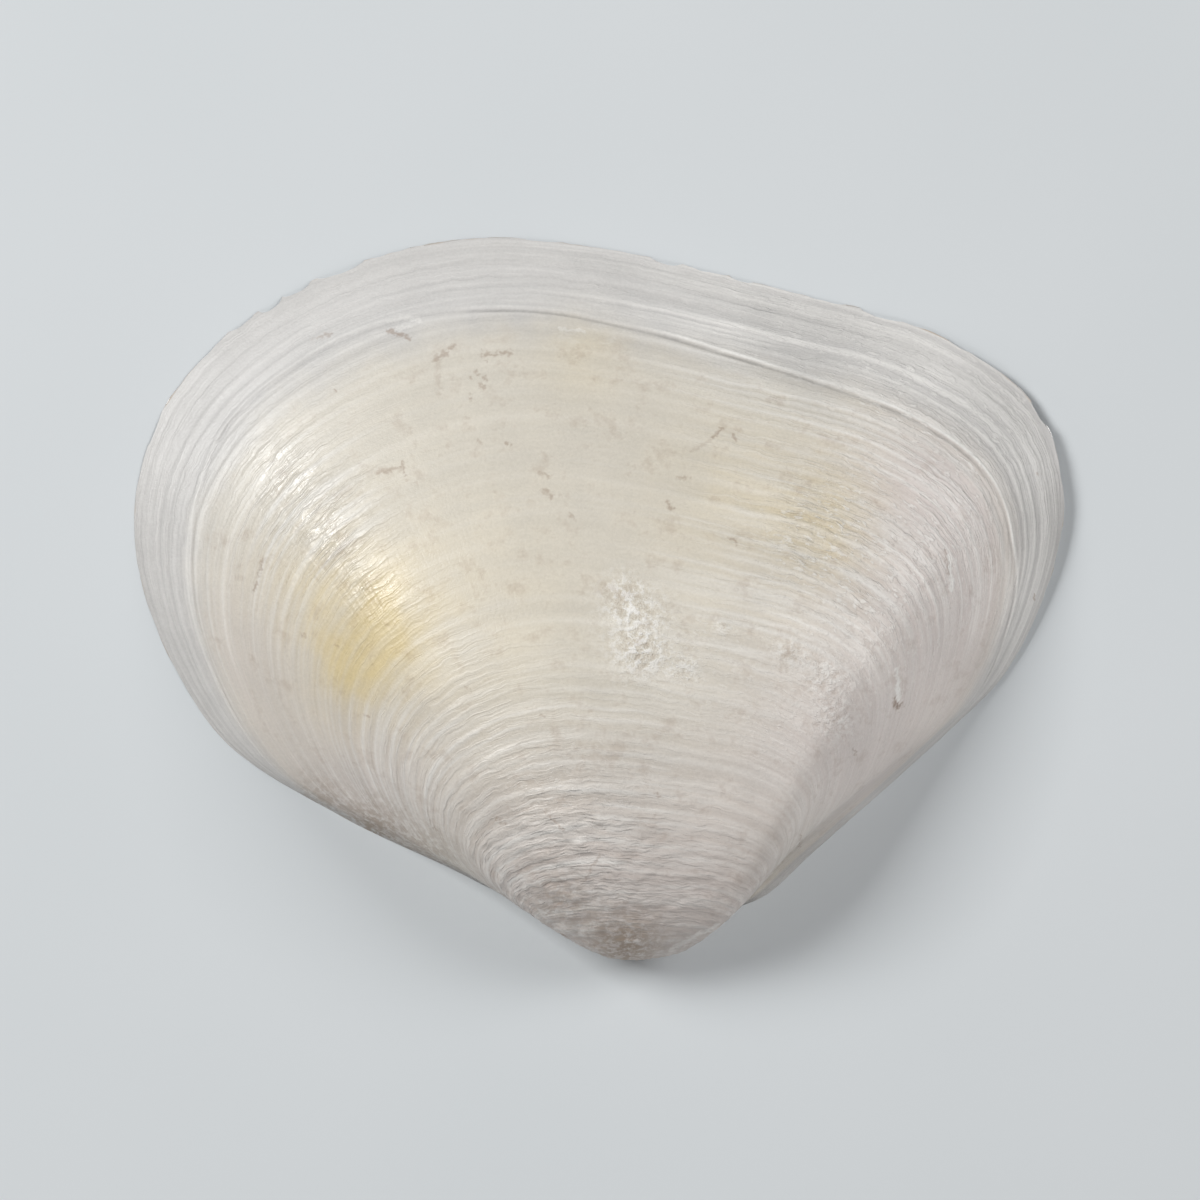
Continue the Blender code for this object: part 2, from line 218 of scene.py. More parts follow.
def surface_normals(points, margin, stage):
    """Outward normals of the spiral, and the width in mm of a band one radian of growth wide."""
    step = 1e-3
    along = np.roll(points, -1, axis=1) - np.roll(points, 1, axis=1)
    along /= np.linalg.norm(along, axis=2)[..., None]
    back = (smooth_surface(margin, stage + step) - smooth_surface(margin, stage - step)) / (2 * step)
    normal = np.cross(along, back)
    spread = np.linalg.norm(normal, axis=2)
    return normal / spread[..., None], spread


def ledge(behind, rise, fade):
    """A shallow groove, up over its rise, then falling away behind."""
    step = smooth(behind / rise + 0.5) * np.exp(-np.maximum(behind, 0.0) / fade)
    return step - 0.2 * bell(behind + 0.9 * rise, 0.8 * rise)


def window(turn, start, end):
    """1 between two shares of the turn, with soft ends."""
    return smooth((turn - start) / WINDOW_SOFT) * smooth((end - turn) / WINDOW_SOFT)


def waves(turn, length):
    """Growth lengths with the growth lines' waviness added, stronger on the posterior side."""
    posterior = smooth((turn - 0.22) / 0.08) * smooth((0.50 - turn) / 0.10)
    slow = SLOW_WAVE * lattice_noise(turn * 30, length * 0.30, 30, 11)
    quick = (QUICK_WAVE + POSTERIOR_WAVE * posterior) * lattice_noise(turn * 90, length * 0.60, 90, 12)
    return length + slow + quick


def growth_ledges(turn, length):
    """Ledges of the growth lines, in mm, and how pale their edges are, partly a whiter edge of the shell and
    partly a painted highlight.
    """
    wavy, relief, crest = waves(turn, length), np.zeros_like(length), np.zeros_like(length)
    strength = 0.75 + 0.45 * lattice_noise(turn * 26, length * 0.9, 26, 13)
    strength = strength * (1.0 + 0.6 * smooth((turn - 0.38) / 0.1) * smooth((6.0 - length) / 2.0))
    for place, height, start, end in LINES:
        shown = height * strength * window(turn, start, end)
        relief += shown * ledge(wavy - place, LEDGE_RISE, LEDGE_FADE)
        crest = np.maximum(crest, EDGE_PALE_AND_HIGHLIGHT * shown * bell(wavy - place - 0.05, EDGE_WIDTH))
    return relief, crest


def fine_ridges(turn, length):
    """Many fine ridges, each along a part of the margin: from 0 between them to 1 on a crest."""
    wavy, crest = waves(turn, length), np.zeros_like(length)
    random = np.random.default_rng(21)
    rows = length.mean(axis=1)
    for _ in range(FINE_RIDGES):
        place, middle = random.uniform(*FINE_RIDGES_SPAN), random.uniform(0.12, 0.86)
        reach = random.uniform(0.03, 0.16) if place > 6.0 else random.uniform(0.05, 0.25)
        height, width = random.uniform(0.25, 1.0), random.uniform(0.10, 0.17)
        near = np.abs(rows - place) < 1.0
        shown = window(turn[near], middle - reach, middle + reach)
        crest[near] = np.maximum(crest[near], height * shown * bell(wavy[near] - place, width))
    return crest


def strong_line(turn, length):
    """The strongest growth line, in mm, and how pale, or dark below 0, it is: a whiter lip that is partly a
    painted highlight, and a groove darkened partly by dirt and partly by painted shade.
    """
    wavy = length + 0.07 * lattice_noise(turn * 40, length * 0, 40, 14)
    behind = wavy - np.interp(turn, *zip(*STRONG_LINE))
    right, left = smooth((0.35 - turn) / 0.05), smooth((turn - 0.52) / 0.05)
    groove = bell(behind - 0.27, 0.11) * (1.0 - 0.5 * right - 0.65 * left)
    band = bell(behind - 1.05, 0.30) * (1.0 - smooth((turn - 0.42) / 0.05) * (2.0 - left))
    ridge = bell(behind - 0.02, 0.12) * (1.0 - 0.35 * left) - 0.7 * groove + 0.4 * band
    shown = window(turn, *STRONG_SHOWN) * (0.85 + 0.3 * lattice_noise(turn * 60, turn * 0, 60, 15))
    paleness_and_painted_light = bell(behind - 0.02, 0.11) * (1.0 - 0.3 * left) - groove + 0.35 * band
    return STRONG_HEIGHT * shown * ridge, STRONG_PALE_AND_PAINTED_LIGHT * shown * paleness_and_painted_light


def liveliness(plan):
    """How strong the fine relief is at each place."""
    return np.maximum(LIVELY + patches(plan, LIVELY_PATCHES), 0.25)


def wrinkles(turn, length):
    """Short broken wrinkles: on the umbo, on the posterior side and on the flanks, in mm."""
    umbo = smooth((length - 27.5) / 5.0) * (1.0 + 0.9 * smooth((turn - 0.42) / 0.08))
    posterior = smooth((turn - 0.22) / 0.07) * smooth((0.46 - turn) / 0.08) * smooth((length - 3.5) / 3.0)
    flank = smooth((turn - 0.66) / 0.05) * smooth((0.86 - turn) / 0.05)
    slanted = length + 14.0 * (turn - 0.35) * posterior
    relief = np.zeros_like(length)
    for (on_umbo, on_posterior, on_flank, everywhere), cells, along, seed in (
        (FINE_WRINKLES, 60, 2.6, 31),
        (COARSE_WRINKLES, 44, 1.5, 32),
    ):
        height = on_umbo * umbo + on_posterior * posterior + on_flank * flank + everywhere
        relief += height * lattice_noise(turn * cells, slanted * along, cells, seed)
    return relief


def folds(margin, stage):
    """The low ridge to the posterior corner and the furrow behind it, in mm."""
    relief = np.zeros(len(margin))
    for at, width, height in (
        (RIDGE_AT, RIDGE_WIDTH, RIDGE_HEIGHT),
        (FURROW_AT, FURROW_WIDTH, -FURROW_DEPTH),
    ):
        relief += height * bell(np.hypot(*(margin[:, :2] - at).T), width)
    return relief * growth_scale(stage) * smooth(stage / FOLDS_FULL_STAGE)


# Rough chalky patches on the outside: middle, radius in mm, and depth of the pits.
ROUGH_PATCHES = [
    ((-0.5, 20.2), 1.5, 0.035), ((0.5, 18.3), 2.1, 0.050), ((0.4, 16.4), 1.6, 0.035),
    ((3.1, 15.8), 1.0, 0.030), ((5.3, 18.4), 0.6, 0.045), ((9.2, 16.9), 1.2, 0.035),
    ((11.5, 15.5), 1.5, 0.045), ((12.0, 12.8), 1.4, 0.020),
]


def pits(plan):
    """Pits and crumbs of the rough patches, in mm."""
    x, y = plan[..., 0], plan[..., 1]
    crumbs = lattice_noise(x * 2.4 + 300, y * 2.4 + 300, 512, 41)
    crumbs += 0.5 * lattice_noise(x * 4.5 + 300, y * 4.5 + 300, 512, 42)
    relief = np.zeros_like(x)
    for (px, py), radius, depth in ROUGH_PATCHES:
        relief += depth * bell(np.hypot(x - px, y - py), radius) * crumbs
    return relief


# Bites out of the margin: middle, half width in mm, and depth as a growth stage, as for the wear.
WORN, WORN_FINE = 0.0012, 0.0006
BITES = [
    ((-23.6, 36.7), 0.9, 0.0030), ((-21.9, 37.9), 0.85, 0.0048), ((-20.3, 38.7), 0.95, 0.0042),
    ((-17.6, 39.9), 1.5, 0.0034), ((-25.6, 34.9), 1.1, 0.0012), ((-5.4, 41.7), 1.0, 0.0016),
    ((2.0, 40.3), 0.9, 0.0036), ((4.4, 39.7), 1.3, 0.0014), ((6.5, 39.3), 0.7, 0.0028),
    ((11.2, 38.2), 1.6, 0.0010), ((14.9, 37.0), 1.3, 0.0030), ((19.6, 35.3), 1.5, 0.0009),
    ((24.5, 31.2), 0.9, 0.0032), ((25.8, 28.0), 1.4, 0.0012), ((25.8, 23.1), 1.3, 0.0028),
    ((24.0, 18.7), 1.4, 0.0012), ((22.6, 16.2), 1.5, 0.0022), ((-29.2, 30.4), 1.1, 0.0022),
    ((-27.3, 15.6), 1.2, 0.0012), ((-20.6, 8.5), 1.1, 0.0030), ((-18.9, 7.5), 0.9, 0.0024),
]


def margin_wear(margin, turn):
    """How far back in growth the edge is worn or bitten at each column."""
    wear = WORN * smooth(0.5 + lattice_noise(turn * 90, turn * 0, 90, 51))
    wear += WORN_FINE * lattice_noise(turn * 240, turn * 0, 240, 52)
    for place, half_width, depth in BITES:
        away = np.hypot(*(margin[:, :2] - place).T) / half_width
        wear += depth * np.sqrt(np.maximum(1.0 - away**2, 0.0))
    return wear


def outer_rings(margin, turn, lengths):
    """The outside at these lengths of growth behind the margin: points, growth lengths and crests."""
    rows = stage_at_grown(np.array(lengths))[:, None]
    wear = margin_wear(margin, turn)[None, :]
    stage = rows + wear * smooth(1.0 - rows / 0.02)
    plain = smooth_surface(margin, stage)
    normal, spread = surface_normals(plain, margin, stage)
    length, turns = grown(stage), np.broadcast_to(turn, stage.shape)
    open_bands = np.minimum(1.0, spread / (60.0 * growth_scale(stage)))
    lively = liveliness(plain[..., :2])
    crest = fine_ridges(turns, length)
    calm = smooth((turns - 0.50) / 0.06) * smooth((5.0 - length) / 1.5)
    crest = crest * (1.0 - 0.7 * calm)
    fine = (wrinkles(turns, length) + FINE_RIDGE_HEIGHT * crest) * lively
    ledges, edges = growth_ledges(turns, length)
    ledges, crest = ledges * np.maximum(lively, 0.6), np.maximum(crest, np.minimum(edges, 1.0))
    strong, paleness_and_painted_light = strong_line(turns, length)
    relief = (strong + ledges + fine) * open_bands + pits(plain[..., :2])
    crest = crest * (1.0 - np.minimum(np.abs(paleness_and_painted_light), 1.0)) + paleness_and_painted_light
    relief += SWELL_HEIGHT * lattice_noise(turns * 14, length * 0.12, 14, 61) * open_bands
    relief = relief * smooth((stage - wear) / RELIEF_FROM) + folds(margin, stage)
    return plain + normal * relief[..., None], length, crest


def beak_cap(last_ring, before):
    """Rings that round off the beak beyond the last growth stage, and its tip."""
    middle = last_ring.mean(axis=0)
    onward = middle - before.mean(axis=0)
    onward /= np.linalg.norm(onward)
    rings = []
    for degrees in BEAK_CAP_TURNS:
        turn = math.radians(degrees)
        rings.append(middle + (last_ring - middle) * math.cos(turn) + onward * BEAK_ROUNDING * math.sin(turn))
    return rings, middle + onward * BEAK_ROUNDING


def ball_offsets():
    """Places under a unit ball, and how far down its surface is from its widest plane at each."""
    turns = [2 * math.pi * i / BALL_DIRECTIONS for i in range(BALL_DIRECTIONS)]
    places = {(round(r * math.cos(t), 6), round(r * math.sin(t), 6), r) for r in BALL_SHARES for t in turns}
    return [(x, y, math.sqrt(1.0 - r * r)) for x, y, r in sorted(places)]


def smooth_tree():
    """The smooth outside, for measuring heights under it."""
    margin, _ = margin_columns(AROUND)
    stages = np.linspace(0.0, BEAK_STAGE, 120)[:, None]
    points = [Vector(p) for p in smooth_surface(margin, stages).reshape(-1, 3)]
    faces = []
    for row in range(len(stages) - 1):
        faces += joining_faces(row * AROUND, AROUND, (row + 1) * AROUND, AROUND)
    return BVHTree.FromPolygons(points, faces)


def under_wall(tree, ball, place, wall):
    """The height of the wall's inner face: the lowest that a ball as thick as the wall hangs."""
    heights = []
    for x, y, drop in ball:
        above = Vector((place[0] + wall * x, place[1] + wall * y, ABOVE_ALL))
        hit = tree.ray_cast(above, Vector((0, 0, -1)))[0]
        heights.append((hit.z if hit else 0.0) - wall * drop)
    return min(heights)


# The hinge: middle, length, width, height and turn in degrees of each tooth, of the cleft in the
# back tooth and of the ligament's ledge.
HINGE_FORMS = [
    ((-0.8, 3.1), 2.1, 0.75, 0.75, 106.0),
    ((0.7, 3.1), 2.2, 1.05, 0.75, 72.0),
    ((0.72, 3.0), 2.0, 0.35, -0.45, 72.0),
    ((5.0, 3.1), 5.2, 0.9, 0.55, 14.0),
]


def hinge_relief(plan):
    """How far the teeth and the ligament's ledge stand down from the hinge plate, in mm."""
    down = np.zeros(len(plan))
    for (x, y), length, width, height, degrees in HINGE_FORMS:
        turn = math.radians(degrees)
        dx, dy = plan[:, 0] - x, plan[:, 1] - y
        along = dx * math.cos(turn) + dy * math.sin(turn)
        across = -dx * math.sin(turn) + dy * math.cos(turn)
        ends = smooth(2.5 * (1.0 - np.abs(along) / (length / 2)))
        down += height * ends * smooth(1.6 * (1.0 - np.abs(across) / (width / 2 + 0.15)))
    return down


def inner_ring(margin, way, depth, foot, hinge, measure):
    """The inside, so many mm in from the rim's inner edge at each column."""
    inward = np.array(INNER_POLE) - margin[:, :2]
    inward /= np.linalg.norm(inward, axis=1)[:, None]
    place = margin[:, :2] + inward * (RIM_WIDTH + way)[:, None]
    wall = WALL_AT_RIM + (WALL_MIDDLE - WALL_AT_RIM) * smooth(way / WALL_GROWS_OVER)
    under = np.array([measure(*values) for values in zip(place, wall)])
    for _ in range(3 * len(margin) // AROUND):
        under = 0.25 * (np.roll(under, 1) + 2.0 * under + np.roll(under, -1))
    floor = margin[:, 2] + hinge * PLATE_RECESS * smooth(way / (PLATE_EDGE_SHARE * depth))
    gap = under - floor
    height = floor + 0.5 * (gap + np.hypot(gap, WALL_FOOT_ROUNDING)) * smooth((way - depth) / foot)
    height -= hinge * smooth((way - 0.2) / 0.4) * hinge_relief(place)
    return np.column_stack([place, height])


def inner_rings(margin):
    """The lip, the hinge plate at twice the points, and the dome, as (ring, way in from the rim)."""
    tree, ball = smooth_tree(), ball_offsets()
    plan = margin[:, :2]
    reach = np.linalg.norm(np.array(INNER_POLE) - plan, axis=1)
    hinge = smooth(1.5 * (1.0 - np.hypot(plan[:, 0] - HINGE_MIDDLE_X, plan[:, 1]) / PLATE_HALF_LENGTH))
    depth = LEAST_DEPTH + hinge * (PLATE_DEPTH - LEAST_DEPTH)
    foot = WALL_FOOT + hinge * (WALL_FOOT_AT_PLATE - WALL_FOOT)
    dome = reach - RIM_WIDTH - depth - foot
    wide = [share * depth for share in PLATE_ROWS]
    narrow = [depth + share * foot for share in FOOT_ROWS]
    narrow += [depth + foot + share * dome for share in DOME_ROWS + (1.0,)]
    made = []
    for way, step in [(way, 1) for way in wide] + [(way, 2) for way in narrow]:
        ring = inner_ring(
            margin[::step], way[::step], depth[::step], foot[::step], hinge[::step],
            lambda place, wall: under_wall(tree, ball, place, wall),
        )
        made.append((ring, way[::step]))
    return made


def joining_faces(first, count, onward, onward_count):
    """Faces between a ring and the next one out, which has as many points, twice or half as many."""
    faces = []
    for i in range(min(count, onward_count)):
        if count == onward_count:
            j = (i + 1) % count
            faces.append((first + i, first + j, onward + j, onward + i))
        elif count == 2 * onward_count:
            a, b, c = (first + k % count for k in (2 * i, 2 * i + 1, 2 * i + 2))
            p, q = onward + i, onward + (i + 1) % onward_count
            faces += [(a, b, p), (b, q, p), (b, c, q)]
        else:
            a, b = first + i, first + (i + 1) % count
            p, q, r = (onward + k % onward_count for k in (2 * i, 2 * i + 1, 2 * i + 2))
            faces += [(a, b, q), (a, q, p), (b, r, q)]
    return faces


def main_lengths():
    """The growth lengths of the outside's rows behind the rim, closer together by the strong line."""
    ends = [start for start, _ in ROW_BREAKS[1:]] + [float(grown(BEAK_STAGE))]
    parts = [np.linspace(start, end, count, endpoint=False) for (start, count), end in zip(ROW_BREAKS, ends)]
    return np.append(np.concatenate(parts), ends[-1])


def valve_rings():
    """All rings from the middle of the inside, over the margin, to the beak, with what they keep."""
    finest, finest_turn = margin_columns(4 * AROUND)
    within = inner_rings(finest[::2])[::-1]
    rings, lengths = [ring for ring, _ in within], [-way - LIP_WIDTH for _, way in within]
    lip, *_ = outer_rings(finest, finest_turn, EDGE_LENGTHS[:1])
    toward = np.array(INNER_POLE) - lip[0][:, :2]
    toward /= np.linalg.norm(toward, axis=1)[:, None]
    lip[0][:, :2] += toward * LIP_WIDTH
    rings.append(lip[0])
    lengths.append(np.full(len(finest), -LIP_WIDTH))
    crests = [np.zeros(len(ring)) for ring in rings]
    for step, rows in ((1, EDGE_LENGTHS), (2, RIM_LENGTHS), (4, main_lengths())):
        made, length, crest = outer_rings(finest[::step], finest_turn[::step], rows)
        rings += [*made]
        lengths += [*length]
        crests += [*crest]
    cap, tip = beak_cap(rings[-1], rings[-2])
    lengths += [lengths[-1]] * len(cap)
    crests += [crests[-1]] * len(cap)
    return rings + cap, lengths, crests, tip, finest


def valve_data():
    """Points, faces, growth coordinates and ridge crests of the closed valve, in mm from the hinge."""
    rings, lengths, crests, tip, finest = valve_rings()
    pole = rings[0].mean(axis=0)
    rings, lengths, crests = rings[1:], lengths[1:], crests[1:]
    points, growth, faces, first = [pole[None, :]], [np.array([[*INNER_POLE, lengths[0].min()]])], [], 1
    count = len(rings[0])
    faces += [(0, first + (i + 1) % count, first + i) for i in range(count)]
    for k, (ring, length) in enumerate(zip(rings, lengths)):
        columns = finest[:: len(finest) // len(ring), :2]
        points.append(ring)
        growth.append(np.column_stack([columns, length]))
        if k + 1 < len(rings):
            faces += joining_faces(first, len(ring), first + len(ring), len(rings[k + 1]))
            first += len(ring)
    count = len(rings[-1])
    faces += [(first + i, first + (i + 1) % count, first + count) for i in range(count)]
    points.append(tip[None, :])
    growth.append(np.array([[0.0, 0.0, lengths[-1].max()]]))
    crest = np.concatenate([[0.0], *crests, [0.0]])
    return np.vstack(points), faces, np.vstack(growth), crest


# The patches whose strength stops at 1 where they overlap, and the angle that stays a sharp edge.
CAPPED, SHARP_FROM = ("rose", "fleck_and_glint_patches"), 55.0

# Colour patches on the outside: middle, radius in mm, and how strong.
WARM_PATCHES = [
    ((-16.0, 16.6), 3.1, 0.95), ((-14.3, 20.2), 3.0, 0.35), ((-19.1, 20.8), 3.2, 0.28),
    ((11.3, 24.7), 3.2, 0.46), ((5.2, 26.5), 4.0, 0.15), ((-3.2, 34.7), 2.6, 0.22),
    ((-12.0, 19.0), 8.0, 0.25), ((8.0, 24.0), 8.0, 0.10),
]
GLOSS_PATCHES = [
    ((-20.9, 27.8), 2.4, 1.0), ((-18.5, 23.8), 2.2, 1.0), ((-15.5, 20.4), 2.2, 1.0),
    ((11.0, 24.8), 3.2, 1.8), ((5.5, 18.2), 1.4, 0.8), ((0.5, 18.5), 2.5, 0.7),
]
LAMELLA_PATCHES = [
    ((17.5, 21.5), 4.5, 0.7), ((14.0, 16.0), 4.5, 0.5), ((8.0, 22.0), 4.0, 0.3),
    ((-17.0, 24.0), 5.0, 0.5), ((14.0, 33.5), 4.0, 0.4), ((6.0, 36.0), 4.0, 0.3),
    ((-3.5, 7.0), 5.0, 0.7), ((3.0, 5.0), 5.0, 0.5),
]
# Where the pale flecks show: partly white flecks of the shell, partly painted glints, as on the right of the
# disc at (11.0, 24.4).
FLECK_AND_GLINT_PATCHES = [
    ((15.0, 33.5), 5.0, 0.9), ((8.0, 36.5), 4.0, 0.7), ((21.0, 30.5), 4.0, 0.8), ((18.5, 24.0), 4.5, 0.8),
    ((12.0, 22.5), 4.5, 0.7), ((11.0, 24.4), 3.0, 0.6), ((15.0, 17.0), 5.0, 0.6), ((-2.0, 38.5), 4.0, 0.4),
    ((-18.8, 25.0), 3.5, 0.5), ((3.0, 17.0), 4.0, 0.5), ((-3.0, 8.0), 5.0, 0.5), ((9.0, 12.0), 4.0, 0.4),
]
ROSE_PATCHES = [
    ((19.0, 19.0), 8.0, 0.9), ((12.0, 10.0), 7.0, 0.8), ((18.5, 27.0), 5.0, 0.8),
    ((-16.0, 8.0), 6.0, 0.8), ((-24.0, 16.0), 6.0, 0.5),
]
# Lighter and darker patches of the outside, as shares of its brightness: partly the shell's own tone, partly
# painted light and painted shade that make up for how the lamps light each slope.
TONE_AND_PAINTED_LIGHT_PATCHES = [
    ((23.3, 30.8), 4.0, -0.12), ((25.0, 24.7), 3.0, -0.10), ((22.0, 20.0), 3.0, 0.15),
    ((17.3, 14.5), 3.5, 0.16), ((10.0, 32.0), 4.0, -0.06), ((-26.0, 30.8), 3.0, -0.05),
    ((-14.0, 26.0), 3.5, -0.05), ((-4.4, 1.9), 2.5, -0.06), ((-2.0, 10.3), 3.5, -0.04),
    ((1.5, 18.4), 3.5, 0.07), ((9.0, 16.5), 4.0, 0.03), ((12.5, 7.0), 3.0, 0.06),
    ((10.0, 36.8), 4.0, -0.06), ((-24.3, 24.7), 2.5, -0.06), ((13.2, 9.1), 3.5, 0.05),
]
STAIN_PATCHES = [
    ((-15.7, 5.8), 2.0, 0.75), ((-18.8, 7.9), 1.5, 0.40), ((-12.2, 4.6), 1.8, 0.40),
    ((-0.5, -1.0), 2.2, 0.75), ((-4.4, 1.9), 2.2, 0.30),
]


def set_values(mesh, name, values, domain="POINT"):
    """Keeps a value or a vector for every point, or face, of the mesh, for its material."""
    kind, field = ("FLOAT_VECTOR", "vector") if values.ndim == 2 else ("FLOAT", "value")
    made = mesh.attributes.new(name, kind, domain)
    made.data.foreach_set(field, values.astype(np.float32).ravel())


def placed(name, data):
    """A new object of the scene."""
    made = bpy.data.objects.new(name, data)
    bpy.context.scene.collection.objects.link(made)
    return made


def make_valve():
    """The visible valve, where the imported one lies."""
    points, faces, growth, crest = valve_data()
    low, high = (np.array(corner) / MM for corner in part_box("valve"))
    own_low, own_high = points.min(axis=0), points.max(axis=0)
    shift = (low + high) / 2 - (own_low + own_high) / 2
    shift[2] = low[2] - own_low[2]
    mesh = bpy.data.meshes.new("shell_valve")
    mesh.from_pydata([Vector(p) for p in (points + shift) * MM], [], faces)
    mesh.update()
    set_values(mesh, "growth", growth)
    set_values(mesh, "place", points)
    set_values(mesh, "crest", crest)
    set_values(mesh, "inside", (growth[:, 2] < 0).astype(float))
    set_values(mesh, "lively", liveliness(points[:, :2]))
    chalky = [(middle, radius, 1.0) for middle, radius, _ in ROUGH_PATCHES]
    named = {
        "warm": WARM_PATCHES, "stain": STAIN_PATCHES, "rough": chalky, "rose": ROSE_PATCHES,
        "shade": TONE_AND_PAINTED_LIGHT_PATCHES, "gloss": GLOSS_PATCHES, "lamella": LAMELLA_PATCHES, "fleck_and_glint_patches": FLECK_AND_GLINT_PATCHES,
    }
    for name, listed in named.items():
        values = patches(points[:, :2], listed)
        set_values(mesh, name, np.minimum(values, 1.0) if name in CAPPED else values)
    starts, ends = nearest_marks(np.array([points[list(face), :2].mean(axis=0) for face in faces]))
    set_values(mesh, "mark_start", starts, "FACE")
    set_values(mesh, "mark_end", ends, "FACE")
    made = placed("shell_valve", mesh)
    mesh.shade_smooth()
    mesh.set_sharp_from_angle(angle=math.radians(SHARP_FROM))
    mesh.materials.append(shell_material())
    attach(made, "root")
    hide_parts("valve")


def colour(red, green, blue):
    """A colour given as it looks on a screen, 0 to 255, as the numbers that a material takes."""
    parts = [part / 255.0 for part in (red, green, blue)]
    return tuple(part / 12.92 if part < 0.04 else ((part + 0.055) / 1.055) ** 2.4 for part in parts) + (1.0,)


class Nodes:
    """Adds nodes to a tree and joins them."""

    def __init__(self, tree):
        self.tree = tree

    def add(self, kind, inputs, **settings):
        """A node with these settings, and a value or another node's output in each of its inputs."""
        made = self.tree.nodes.new(kind)
        for name, value in settings.items():
            setattr(made, name, value)
        for key, value in inputs.items():
            if isinstance(value, bpy.types.NodeSocket):
                self.tree.links.new(value, made.inputs[key])
            else:
                made.inputs[key].default_value = value
        return made

    def kept(self, name, output="Fac"):
        """A value that the mesh keeps."""
        return self.add("ShaderNodeAttribute", {}, attribute_name=name).outputs[output]

    def math(self, operation, first, *others):
        """The values put together by the operation, one after another."""
        for other in others or (0.0,):
            first = self.add("ShaderNodeMath", {0: first, 1: other}, operation=operation).outputs[0]
        return first

    def part(self, vector, axis):
        return self.add("ShaderNodeSeparateXYZ", {0: vector}).outputs[axis]

    def vector(self, operation, a, b):
        """A sum of vectors. A product of both or a distance is a value, and others are vectors."""
        made = self.add("ShaderNodeVectorMath", {0: a, 1: b}, operation=operation)
        return made.outputs[1 if operation in ("DOT_PRODUCT", "DISTANCE") else 0]

    def times(self, *factors):
        return self.math("MULTIPLY", *factors)

    def rise(self, value, low, high, first=0.0, last=1.0):
        """An even rise, or fall, of the value from low to high."""
        inputs = {0: value, 1: low, 2: high, 3: first, 4: last}
        return self.add("ShaderNodeMapRange", inputs, interpolation_type="SMOOTHSTEP").outputs[0]

    def stretched(self, vector, factors):
        return self.vector("MULTIPLY", vector, factors)

    def noise(self, vector, scale=1.0, detail=2.0, roughness=0.5, output="Fac"):
        inputs = {"Vector": vector, "Scale": scale, "Detail": detail, "Roughness": roughness}
        return self.add("ShaderNodeTexNoise", inputs).outputs[output]

    def mix(self, factor, a, b, way="MIX"):
        """Two colours mixed."""
        inputs = {0: factor, 6: a, 7: b}
        return self.add("ShaderNodeMix", inputs, data_type="RGBA", blend_type=way).outputs[2]

    def bump(self, height, unit):
        """A bumped normal. The unit is the height's, in metres."""
        inputs = {"Height": height, "Distance": unit, "Strength": 1.0}
        return self.add("ShaderNodeBump", inputs).outputs[0]


# Colours as they look on a screen.
BAND = colour(206, 204, 202)
DISC = colour(216, 210, 198)
ROSE = colour(215, 206, 202)
YELLOW = colour(220, 202, 158)
CHALK = colour(244, 242, 238)
TAN = colour(160, 134, 102)
STAIN = colour(148, 124, 98)
UMBO = colour(204, 194, 188)
MARK = colour(140, 112, 90)
INNER = colour(232, 229, 222)
INNER_WARM = colour(224, 219, 207)
SCAR = colour(205, 200, 190)

